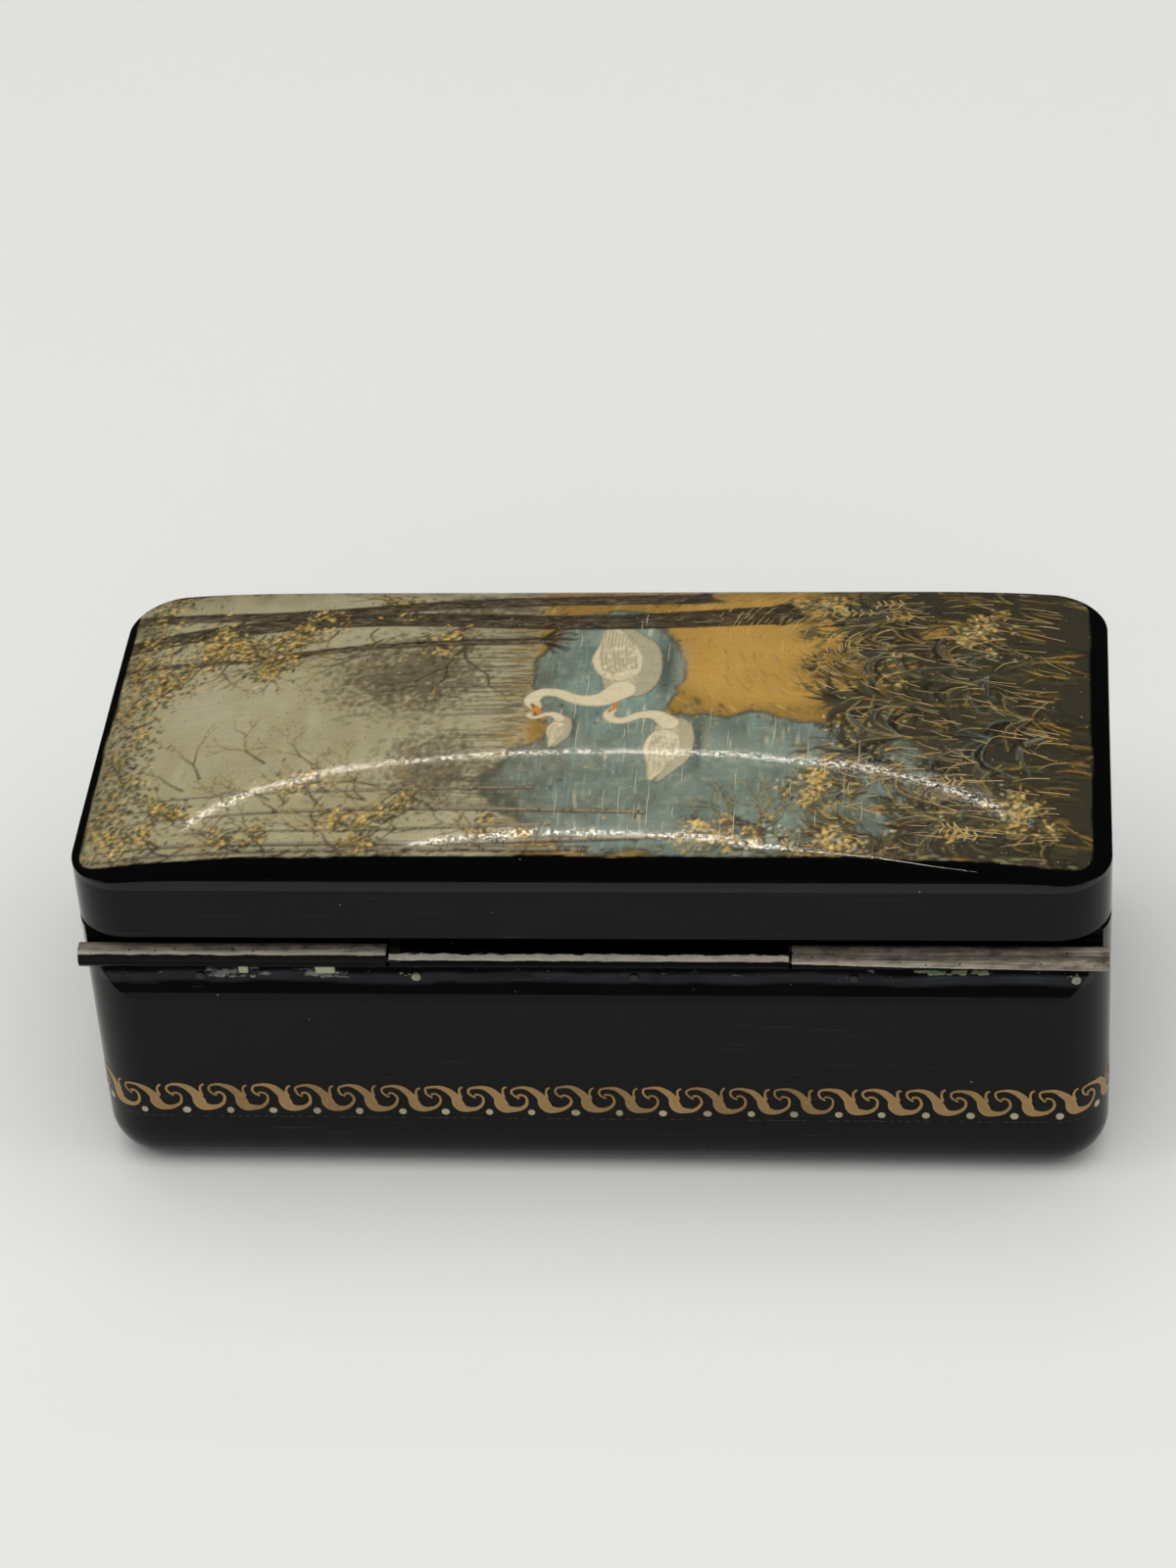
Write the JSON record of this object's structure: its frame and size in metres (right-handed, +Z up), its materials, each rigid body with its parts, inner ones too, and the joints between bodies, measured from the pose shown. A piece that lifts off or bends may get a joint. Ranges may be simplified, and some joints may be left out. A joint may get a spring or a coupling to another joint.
{
  "type": "lacquer box",
  "caption": "Long lacquered papier-mache box with a pillow-domed lid on a full-length knuckle hinge, an inner lip and a rounded foot.",
  "frame": {"origin": "middle of the underside, on the surface that the box stands on", "axes": "+X along the box, -Y the opening side, +Y the hinge side, +Z up"},
  "size_m": [0.11, 0.0516, 0.045],
  "materials": {
    "black_lacquer": "gloss",
    "red_lacquer": "gloss",
    "painted_lacquer": "gloss",
    "hinge_metal": "satin",
    "pin_wire": "satin"
  },
  "bodies": {
    "base": {"base_wall": "black_lacquer", "bottom_board": "black_lacquer", "inner_lip": "red_lacquer", "base_hinge_leaf": "hinge_metal", "hinge_pin": "pin_wire", "base_leaf_pins": "pin_wire"},
    "lid": {"lid_wall": "black_lacquer", "lid_top": "painted_lacquer", "lid_hinge_leaf": "hinge_metal", "lid_leaf_pins": "pin_wire"}
  },
  "joints": [
    {"name": "lid_hinge", "type": "hinge", "parent": "base", "child": "lid", "pos_m": [0, 0.0244, 0.0299], "axis": [-1, 0, 0], "range_deg": [0, 145]}
  ]
}
